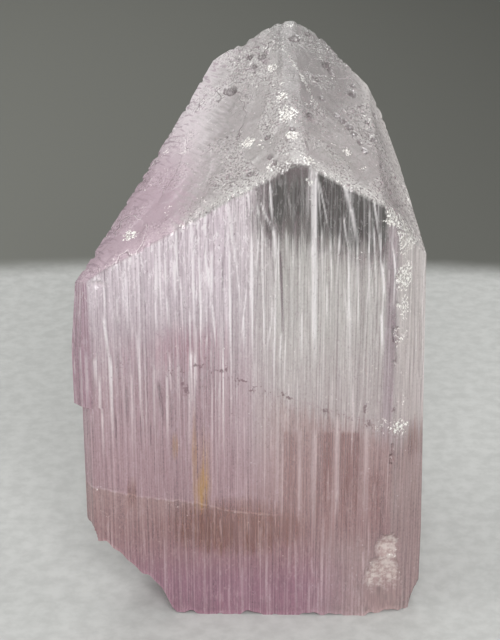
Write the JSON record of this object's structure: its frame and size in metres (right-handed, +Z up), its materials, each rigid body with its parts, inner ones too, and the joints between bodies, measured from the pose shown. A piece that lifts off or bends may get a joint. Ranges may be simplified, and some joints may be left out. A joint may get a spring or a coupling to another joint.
{
  "type": "kunzite crystal",
  "caption": "Clear pink spodumene crystal, a tall striated prism with a sloping roof-shaped termination, standing upright on its broken base.",
  "frame": {"origin": "middle of the footprint, on the plane that the crystal stands on", "axes": "+Z up along the crystal's long axis; the wide striated prism face looks along -Y; +X to the right of it"},
  "size_m": [0.0378, 0.0192, 0.0643],
  "materials": {
    "kunzite": "vitreous, with vertical growth striations, an etched termination and white bruised edges"
  },
  "bodies": {
    "root": {"crystal": "kunzite"}
  },
  "joints": []
}
